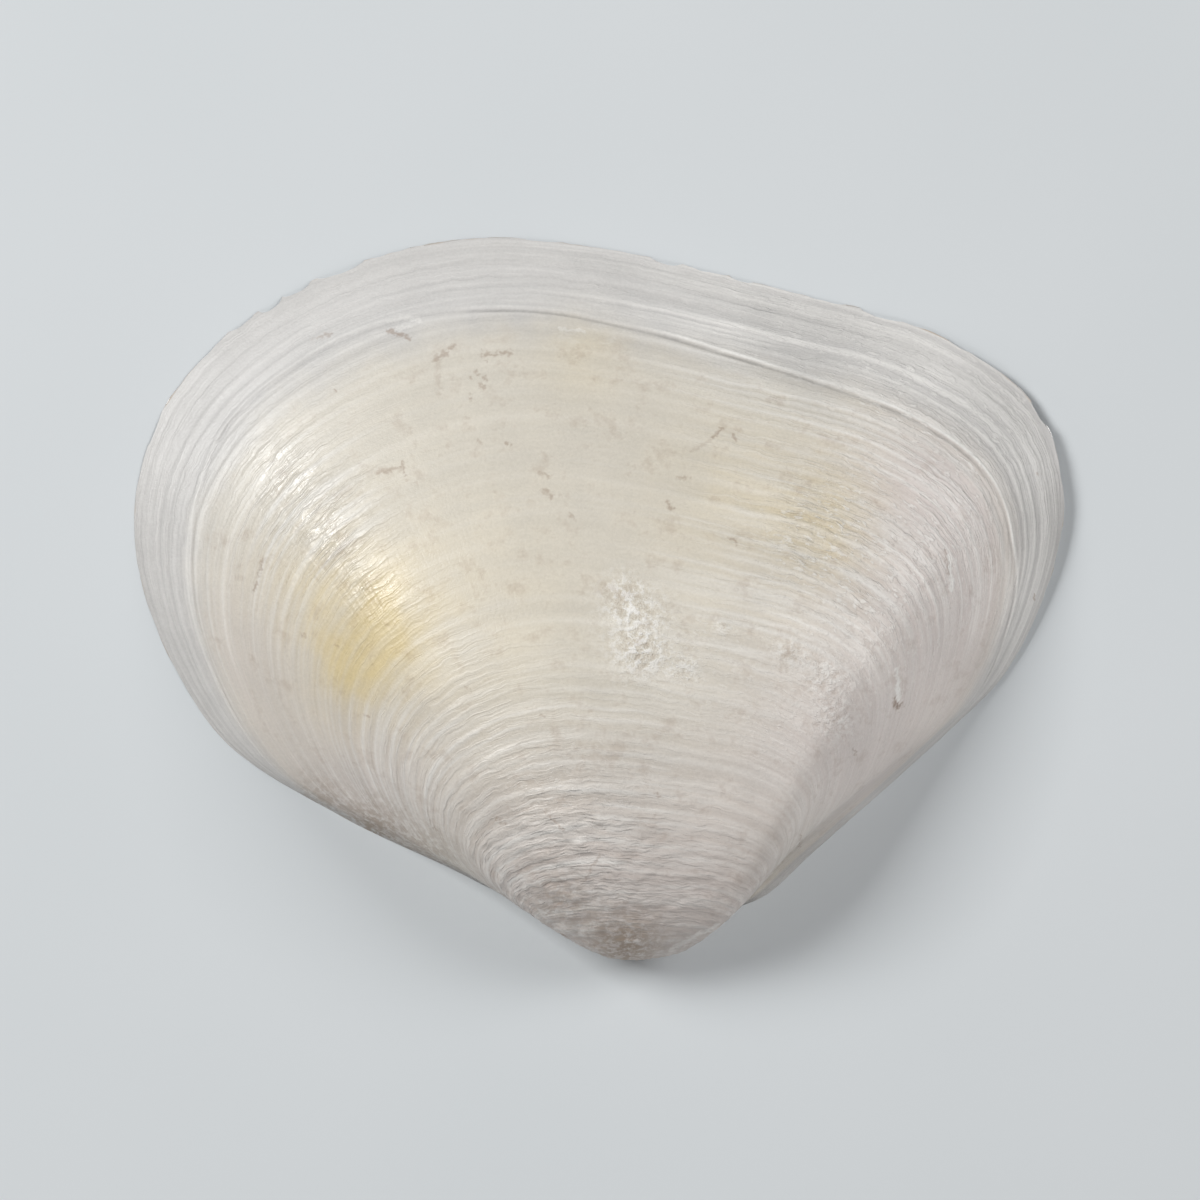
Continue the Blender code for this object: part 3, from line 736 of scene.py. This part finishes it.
# Brown specks and scratches: both ends, width in mm and how dark.
BROWN_MARKS = [
    ((-19.2, 35.58), (-18.12, 35.88), 0.22, 0.35), ((-14.69, 36.12), (-13.36, 35.64), 0.20, 0.50),
    ((-11.8, 34.31), (-10.72, 35.16), 0.30, 0.45), ((-9.03, 34.55), (-7.34, 34.74), 0.26, 0.45),
    ((-9.03, 34.98), (-8.73, 34.31), 0.20, 0.35), ((-11.68, 34.07), (-11.56, 32.27), 0.30, 0.18),
    ((-9.39, 33.59), (-9.27, 33.47), 0.22, 0.40), ((-8.91, 33.23), (-8.79, 33.11), 0.22, 0.40),
    ((-9.69, 33.29), (-9.63, 33.17), 0.20, 0.35), ((-9.09, 32.75), (-8.91, 32.69), 0.22, 0.40),
    ((-9.69, 32.21), (-9.69, 31.91), 0.18, 0.45), ((-15.17, 27.57), (-13.67, 27.81), 0.30, 0.45),
    ((-13.73, 28.23), (-13.61, 27.39), 0.18, 0.45), ((-13.48, 27.03), (-12.82, 26.85), 0.18, 0.25),
    ((-9.21, 29.38), (-9.03, 29.26), 0.22, 0.30), ((-7.52, 29.32), (-7.4, 29.2), 0.18, 0.45),
    ((-5.66, 27.57), (-5.0, 27.27), 0.24, 0.35), ((-5.24, 26.43), (-4.82, 26.01), 0.26, 0.40),
    ((-17.94, 32.51), (-17.82, 32.39), 0.16, 0.45), ((-23.12, 23.9), (-23.06, 23.78), 0.18, 0.40),
    ((4.7, 29.56), (5.24, 30.1), 0.20, 0.50), ((6.02, 29.74), (6.14, 29.5), 0.22, 0.45),
    ((3.55, 28.84), (4.64, 29.5), 0.18, 0.20), ((2.05, 25.77), (2.29, 25.34), 0.24, 0.45),
    ((2.65, 27.15), (3.37, 27.27), 0.20, 0.35), ((5.84, 23.66), (6.2, 23.3), 0.22, 0.50),
    ((14.27, 25.89), (14.99, 25.34), 0.30, 0.25), ((18.66, 22.82), (18.84, 21.49), 0.20, 0.35),
    ((24.08, 20.29), (24.14, 20.11), 0.16, 0.50), ((24.32, 27.57), (24.38, 27.45), 0.14, 0.40),
    ((-3.73, 24.98), (-3.49, 24.74), 0.24, 0.35), ((-4.88, 7.04), (-4.7, 6.92), 0.18, 0.40),
    ((-8.07, 6.98), (-7.65, 6.68), 0.24, 0.50), ((-5.54, 13.24), (-5.36, 13.06), 0.18, 0.35),
    ((-9.87, 14.75), (-9.69, 14.63), 0.18, 0.35), ((-11.86, 6.32), (-11.68, 6.2), 0.20, 0.50),
    ((1.38, 8.49), (1.57, 8.31), 0.22, 0.50), ((-0.66, -1.02), (-0.42, -1.2), 0.26, 0.60),
    ((-22.15, 22.33), (-22.64, 20.53), 0.18, 0.45), ((-15.89, 13.06), (-15.71, 12.94), 0.18, 0.40),
    ((-17.7, 17.28), (-17.58, 17.16), 0.18, 0.35), ((-19.69, 17.88), (-19.56, 17.76), 0.18, 0.35),
    ((13.18, 10.96), (13.3, 10.78), 0.18, 0.40), ((15.59, 14.03), (15.77, 13.48), 0.24, 0.70),
    ((15.77, 13.48), (16.13, 13.85), 0.20, 0.60), ((9.99, 5.9), (10.05, 5.18), 0.12, 0.40),
    ((-5.24, 7.4), (-4.09, 6.26), 0.14, 0.35), ((-1.99, 4.82), (-2.89, 3.25), 0.14, 0.30),
    ((-5.12, 1.14), (-3.61, 2.71), 0.14, 0.30), ((-4.39, -0.18), (-3.91, -0.48), 0.34, 0.90),
    ((-3.67, -0.72), (-2.59, -1.44), 0.10, 0.40),
]

# Where the band turns into the disc and the disc into the umbo, in mm of growth behind the margin.
DISC_FROM, UMBO_FROM = (5.0, 8.5), (24.0, 36.0)
SHELL_IOR = 1.53

# How high each pattern of the bump is, in mm.
BANDS_HIGH, LINES_HIGH, BROKEN_HIGH, CRUMBS_HIGH = 0.10, 0.018, 0.060, 0.16
RADIAL_HIGH, FLECKS_HIGH, GRAIN_HIGH, SCARS_DEEP = 0.06, 0.03, 0.016, 0.08

# How near a mark is to the faces that show it, in mm, and the width that stands for no mark.
MARK_REACH, NO_WIDTH = 0.9, 0.001

# Pale raised marks: both ends, width in mm and how pale.
PALE_MARKS = [
    ((-14.63, 36.66), (-13.79, 36.9), 0.34, 0.45), ((-13.79, 36.9), (-12.76, 36.66), 0.34, 0.50),
    ((-14.09, 36.18), (-13.24, 36.42), 0.28, 0.40), ((18.84, 22.57), (19.02, 20.53), 0.26, 0.90),
    ((15.77, 15.83), (15.83, 13.97), 0.26, 0.90), ((2.23, -0.96), (4.94, 0.48), 0.30, 0.60),
    ((13.67, 16.31), (14.87, 18.42), 0.16, 0.50), ((-4.39, 36.18), (-2.89, 36.0), 0.16, 0.40),
]


def nearest_marks(centres):
    """For each face, the ends, width and strength of the mark nearest to it. Pale ones are negative."""
    every = BROWN_MARKS + [(a, b, width, -pale) for a, b, width, pale in PALE_MARKS]
    starts, ends = np.zeros((len(centres), 3)), np.zeros((len(centres), 3))
    starts[:, 2] = NO_WIDTH
    nearest = np.full(len(centres), MARK_REACH)
    for a, b, width, strength in every:
        run = np.subtract(b, a)
        share = np.clip((centres - a) @ run / (run @ run), 0.0, 1.0)
        away = np.linalg.norm(centres - a - share[:, None] * run, axis=1)
        mine = away < nearest
        nearest[mine] = away[mine]
        starts[mine] = (*a, width)
        ends[mine] = (*b, strength)
    return starts, ends


def stroke(nodes, flat):
    """How strong the mark kept with each face is at each place."""
    start, end = nodes.kept("mark_start", "Vector"), nodes.kept("mark_end", "Vector")
    width, strength = nodes.part(start, 2), nodes.part(end, 2)
    start, end = nodes.stretched(start, (1.0, 1.0, 0.0)), nodes.stretched(end, (1.0, 1.0, 0.0))
    run, away = nodes.vector("SUBTRACT", end, start), nodes.vector("SUBTRACT", flat, start)
    inputs = {0: nodes.vector("DOT_PRODUCT", away, run), 1: nodes.vector("DOT_PRODUCT", run, run)}
    share = nodes.add("ShaderNodeMath", inputs, operation="DIVIDE", use_clamp=True).outputs[0]
    miss = nodes.vector("DISTANCE", away, nodes.vector("MULTIPLY", run, share))
    return nodes.times(nodes.rise(miss, 0.0, width, 1.0, 0.0), strength)


def ragged_place(nodes, place):
    """Places seen from above, shifted a little here and there, so that marks get ragged edges."""
    stray = nodes.vector("SUBTRACT", nodes.noise(place, 3.0, 1.0, 0.6, "Color"), (0.5, 0.5, 0.5))
    shift = nodes.stretched(stray, (0.55, 0.55, 0.0))
    return nodes.stretched(nodes.vector("ADD", place, shift), (1.0, 1.0, 0.0))


# The muscle scars and the siphon's bay inside: middle, half sizes in mm, and turn.
FRONT_SCAR = ((-22.0, 17.6), (2.3, 4.6), 28.0)
BACK_SCAR = ((17.0, 17.6), (3.4, 2.9), 40.0)
BAY = ((6.0, 22.0), (11.5, 5.6), -8.0)
MANTLE_LINE_WAY = 6.2


def oval(nodes, flat, middle, half_sizes, degrees):
    """How far a place is from the middle of an oval, 1 on its outline."""
    inputs = {0: flat, 1: (*middle, 0.0), 2: (0.0, 0.0, math.radians(degrees)), 3: (*half_sizes, 1.0)}
    inside = nodes.add("ShaderNodeMapping", inputs, vector_type="TEXTURE").outputs[0]
    return nodes.vector("DISTANCE", inside, (0.0, 0.0, 0.0))


def inner_scars(nodes, place, length):
    """The two muscle scars, the line where the mantle joined and its bay, from 0 to 1."""
    shift = nodes.rise(nodes.noise(place, 0.3, 1.0), 0.0, 1.0, -1.4, 1.4)
    flat = nodes.stretched(nodes.vector("ADD", place, shift), (1.0, 1.0, 0.0))
    *scars, bay = (oval(nodes, flat, *form) for form in (FRONT_SCAR, BACK_SCAR, BAY))
    front, back = (nodes.rise(scar, 0.90, 1.0, 1.0, 0.0) for scar in scars)
    bay = nodes.math("ABSOLUTE", nodes.math("SUBTRACT", bay, 1.0))
    line = nodes.math("ABSOLUTE", nodes.math("ADD", length, MANTLE_LINE_WAY))
    line = nodes.times(nodes.rise(line, 0.1, 0.6, 0.45, 0.0), nodes.rise(nodes.part(flat, 1), 15.0, 19.0))
    return nodes.math("MAXIMUM", front, back, line, nodes.rise(bay, 0.01, 0.07, 0.35, 0.0))


def shell_patterns(nodes):
    """The patterns that colour, roughness and bump share, by name."""
    growth, place = nodes.kept("growth", "Vector"), nodes.kept("place", "Vector")
    mark = stroke(nodes, ragged_place(nodes, place))
    broken_mark = nodes.rise(nodes.noise(place, 2.6, 2.0), 0.28, 0.52)
    shift = nodes.stretched(nodes.noise(place, 0.9, 1.0, 0.6), (0.0, 0.0, 0.38))
    wavy = nodes.vector("ADD", growth, shift)
    lines = nodes.noise(nodes.stretched(wavy, (0.10, 0.10, 4.4)), 1.0, 2.0, 0.6)
    length = nodes.part(growth, 2)
    return {
        "place": place,
        "growth": growth,
        "length": length,
        "scars": inner_scars(nodes, place, length),
        "inside": nodes.rise(nodes.kept("inside"), 0.0, 0.3),
        "cloud": nodes.noise(place, 0.35, 2.0, 0.6),
        "grain": nodes.noise(place, 6.0, 2.0, 0.7),
        "lively": nodes.kept("lively"),
        "crumbs": nodes.noise(place, 2.1, 3.0, 0.72),
        "flecks_and_glints": nodes.rise(nodes.noise(nodes.stretched(wavy, (1.1, 1.1, 4.6)), 1.0, 2.0, 0.6), 0.52, 0.66),
        "bands": nodes.noise(nodes.stretched(wavy, (0.03, 0.03, 1.4)), 1.0, 2.0, 0.6),
        "lines": nodes.rise(lines, 0.46, 0.66),
        "crest": nodes.kept("crest"),
        "broken": nodes.noise(nodes.stretched(wavy, (0.45, 0.45, 6.0)), 1.0, 1.0, 0.5),
        "brown": nodes.times(nodes.math("MAXIMUM", mark, 0.0), broken_mark),
        "pale": nodes.math("MAXIMUM", nodes.times(mark, -1.0), 0.0),
    }


def shell_colour(nodes, has):
    """Grey-white band, creamy disc, yellow and chalky patches, growth streaks, stains and marks, with painted
    highlights on crests and flecks, and painted light and shade in the bands, the groove and the brightness
    patches.
    """
    length, cloud = has["length"], has["cloud"]
    ragged = nodes.math("ADD", length, nodes.times(cloud, 2.0))
    shade = nodes.mix(nodes.rise(ragged, *DISC_FROM), BAND, DISC)
    shade = nodes.mix(nodes.times(nodes.kept("rose"), nodes.rise(length, 3.0, 8.0)), shade, ROSE)
    shade = nodes.mix(nodes.rise(length, *UMBO_FROM), shade, UMBO)
    warm = nodes.times(nodes.kept("warm"), nodes.rise(cloud, 0.25, 0.7, 0.7, 1.2))
    shade = nodes.mix(warm, shade, YELLOW)
    rough = nodes.kept("rough")
    chalky = nodes.times(rough, 0.62, nodes.rise(has["crumbs"], 0.46, 0.60))
    pitted = nodes.times(rough, 0.2, nodes.rise(has["crumbs"], 0.38, 0.46, 1.0, 0.0))
    # Crests, ledge edges, raised lines and the strong line's lip are whitened: partly the shell's whiter
    # crests, partly a painted highlight.
    crest = nodes.times(nodes.math("MAXIMUM", has["crest"], 0.0), 0.85)
    whiter_crests_and_highlights = nodes.times(
        nodes.math("MAXIMUM", nodes.times(has["lines"], 0.30), crest),
        nodes.rise(has["lively"], 0.1, 1.6, 0.1, 1.0),
        nodes.rise(warm, 0.1, 0.9, 1.0, 0.45),
    )
    # Pale flecks mixed toward chalk: partly the shell's white flecks, partly painted glints.
    flecks_and_glints = nodes.times(has["flecks_and_glints"], nodes.kept("fleck_and_glint_patches"), 0.6)
    shade = nodes.mix(nodes.math("MAXIMUM", chalky, whiter_crests_and_highlights, flecks_and_glints, has["pale"]), shade, CHALK)
    # Growth banding in the colour, lighter on the bumped bands' crests and darker in their troughs: partly
    # the shell's own banding, partly painted shade.
    banding_and_trough_shade = nodes.times(
        nodes.rise(has["bands"], 0.3, 0.7, -0.045, 0.035),
        nodes.rise(has["lively"], 0.2, 1.0, 0.6, 1.0),
        nodes.rise(length, 4.0, 7.0, 2.1, 1.0),
        nodes.rise(length, 20.0, 32.0, 1.0, 0.5),
    )
    grained = nodes.rise(has["grain"], 0.3, 0.7, 0.945, 1.005)
    cloudy = nodes.rise(cloud, 0.3, 0.7, -0.03, 0.02)
    # Where the crest is below 0, the strong line's groove is darkened: partly dirt, partly painted shade.
    groove_dirt_and_shade = nodes.times(nodes.math("MINIMUM", has["crest"], 0.0), 0.20)
    # The kept "shade" patches brighten or darken the colour here: partly the shell's own tone, partly painted
    # light and painted shade.
    light = nodes.math("ADD", banding_and_trough_shade, nodes.kept("shade"), grained, cloudy, groove_dirt_and_shade)
    grey = nodes.add("ShaderNodeCombineColor", {0: light, 1: light, 2: light}).outputs[0]
    shade = nodes.mix(1.0, shade, grey, "MULTIPLY")
    stained = nodes.times(nodes.kept("stain"), nodes.rise(has["crumbs"], 0.38, 0.58))
    shade = nodes.mix(nodes.math("MAXIMUM", stained, pitted), shade, STAIN)
    edge = nodes.times(nodes.rise(length, 0.02, 0.16, 1.0, 0.0), nodes.rise(cloud, 0.42, 0.6))
    shade = nodes.mix(nodes.times(edge, 0.6), shade, TAN)
    smudged = nodes.rise(nodes.noise(has["place"], 0.7, 3.0, 0.7), 0.52, 0.72)
    smudged = nodes.times(smudged, 0.20, nodes.rise(length, 5.0, 7.5))
    shade = nodes.mix(nodes.math("MAXIMUM", has["brown"], smudged), shade, MARK)
    inner = nodes.mix(nodes.rise(cloud, 0.3, 0.7), INNER, INNER_WARM)
    inner = nodes.mix(nodes.times(has["scars"], 0.55), inner, SCAR)
    inner = nodes.mix(nodes.rise(length, -1.6, -0.7, 0.0, 0.7), inner, BAND)
    return nodes.mix(has["inside"], shade, inner)


def shell_roughness(nodes, has):
    """Satin, glossy in broken streaks, chalky where rough, and porcelain inside."""
    gloss = nodes.times(nodes.kept("gloss"), nodes.rise(has["broken"], 0.40, 0.60, 0.4, 1.0))
    rough = nodes.math("SUBTRACT", nodes.rise(has["grain"], 0.3, 0.7, 0.38, 0.50), nodes.times(gloss, 0.24))
    rough = nodes.math("ADD", rough, nodes.times(nodes.kept("rough"), 0.15))
    inner = nodes.rise(has["cloud"], 0.3, 0.7, 0.16, 0.26)
    kept = nodes.times(rough, nodes.math("SUBTRACT", 1.0, has["inside"]))
    return nodes.math("ADD", kept, nodes.times(inner, has["inside"]))


def shell_bump(nodes, has):
    """Growth lines too fine for the mesh, the glossy streaks, crumbs and a fine grain."""
    streaky = nodes.math("ADD", nodes.kept("gloss"), nodes.kept("lamella"))
    broken = nodes.times(has["broken"], nodes.math("ADD", nodes.times(streaky, 0.8), 0.4))
    radial = nodes.noise(nodes.stretched(has["growth"], (2.2, 2.2, 0.25)), 1.0, 1.0, 0.5)
    radial = nodes.times(radial, nodes.math("ADD", nodes.times(nodes.kept("gloss"), 0.5), 0.12))
    bands, lines = nodes.times(has["bands"], BANDS_HIGH), nodes.times(has["lines"], LINES_HIGH)
    height = nodes.math(
        "ADD",
        nodes.times(nodes.math("ADD", bands, lines, nodes.times(broken, BROKEN_HIGH)), has["lively"]),
        nodes.times(has["crumbs"], nodes.kept("rough"), CRUMBS_HIGH),
        nodes.times(radial, RADIAL_HIGH),
        nodes.times(has["flecks_and_glints"], nodes.kept("fleck_and_glint_patches"), FLECKS_HIGH),
        nodes.times(has["grain"], GRAIN_HIGH),
    )
    height = nodes.times(height, nodes.math("SUBTRACT", 1.0, has["inside"]))
    scars = nodes.times(has["scars"], has["inside"], SCARS_DEEP)
    return nodes.bump(nodes.math("SUBTRACT", height, scars), MM)


def new_material(name):
    """A material, its nodes and the inputs of its shader."""
    made = bpy.data.materials.new(name)
    made.use_nodes = True
    return made, Nodes(made.node_tree), made.node_tree.nodes["Principled BSDF"].inputs


def shell_material():
    """Weathered off-white shell, satin outside and glossy white inside."""
    made, nodes, inputs = new_material("shell_skin")
    has = shell_patterns(nodes)
    nodes.tree.links.new(shell_colour(nodes, has), inputs["Base Color"])
    nodes.tree.links.new(shell_roughness(nodes, has), inputs["Roughness"])
    nodes.tree.links.new(shell_bump(nodes, has), inputs["Normal"])
    inputs["IOR"].default_value = SHELL_IOR
    return made


FLOOR_HALF, FLOOR_DARK, FLOOR_LIGHT = 3.0, colour(208, 213, 216), colour(214, 218, 221)
LIGHT_DISTANCE, LIGHT_SIZE = 0.5, 0.20
# The lights: name, angle around and above in degrees, power and tint.
LIGHTS = [
    ("left", 152.0, 42.0, 2.0, (1.0, 1.0, 0.99)),
    ("right", 25.0, 38.0, 1.05, (1.0, 0.99, 0.98)),
    ("front", 285.0, 40.0, 0.55, (1.0, 0.99, 0.98)),
]
WORLD_TINT, WORLD_STRENGTH = (0.92, 0.95, 1.0, 1.0), 0.05
CAMERA_PLACE, CAMERA_LENS, CAMERA_SENSOR = (0.00006, -0.00012, 0.6), 299.0, 36.0


def make_floor():
    """A plain pale floor."""
    mesh = bpy.data.meshes.new("floor")
    edge = [(x * FLOOR_HALF, y * FLOOR_HALF, 0) for x, y in ((-1, -1), (1, -1), (1, 1), (-1, 1))]
    mesh.from_pydata(edge, [], [(0, 1, 2, 3)])
    material, nodes, inputs = new_material("floor")
    place = nodes.add("ShaderNodeTexCoord", {}).outputs["Object"]
    shade = nodes.mix(nodes.noise(place, 40.0, 1.0), FLOOR_DARK, FLOOR_LIGHT)
    nodes.tree.links.new(shade, inputs["Base Color"])
    inputs["Roughness"].default_value = 0.8
    mesh.materials.append(material)
    placed("floor", mesh)


def area_light(name, around, above, power, tint):
    """A square light half a metre away that faces the valve, placed by two angles in degrees."""
    data = bpy.data.lights.new(name, "AREA")
    data.shape, data.size, data.energy, data.color = "SQUARE", LIGHT_SIZE, power, tint
    made = placed(name, data)
    turn, rise = math.radians(around), math.radians(above)
    flat = LIGHT_DISTANCE * math.cos(rise)
    made.location = (flat * math.cos(turn), flat * math.sin(turn), LIGHT_DISTANCE * math.sin(rise))
    made.rotation_euler = (-made.location).to_track_quat("-Z", "Y").to_euler()


def make_lights():
    """Soft light mostly from the left, less from the right, a little from the front and all around."""
    for light in LIGHTS:
        area_light(*light)
    world = bpy.data.worlds.new("studio")
    bpy.context.scene.world = world
    world.use_nodes = True
    background = world.node_tree.nodes["Background"]
    background.inputs["Color"].default_value = WORLD_TINT
    background.inputs["Strength"].default_value = WORLD_STRENGTH


def make_camera():
    """Straight above the valve, as the photograph sees it."""
    data = bpy.data.cameras.new("camera")
    data.lens, data.sensor_width = CAMERA_LENS, CAMERA_SENSOR
    data.clip_start, data.clip_end = 0.01, 20.0
    made = placed("camera", data)
    made.location = CAMERA_PLACE
    bpy.context.scene.camera = made


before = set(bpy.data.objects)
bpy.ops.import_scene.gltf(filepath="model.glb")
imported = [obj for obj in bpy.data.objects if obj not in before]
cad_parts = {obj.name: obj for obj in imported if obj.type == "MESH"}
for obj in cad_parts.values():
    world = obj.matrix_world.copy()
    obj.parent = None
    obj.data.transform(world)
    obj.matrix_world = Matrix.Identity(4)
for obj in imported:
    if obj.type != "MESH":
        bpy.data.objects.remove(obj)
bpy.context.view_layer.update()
make_camera()
make_lights()
make_floor()
make_valve()
bpy.context.scene.view_settings.view_transform = "Standard"
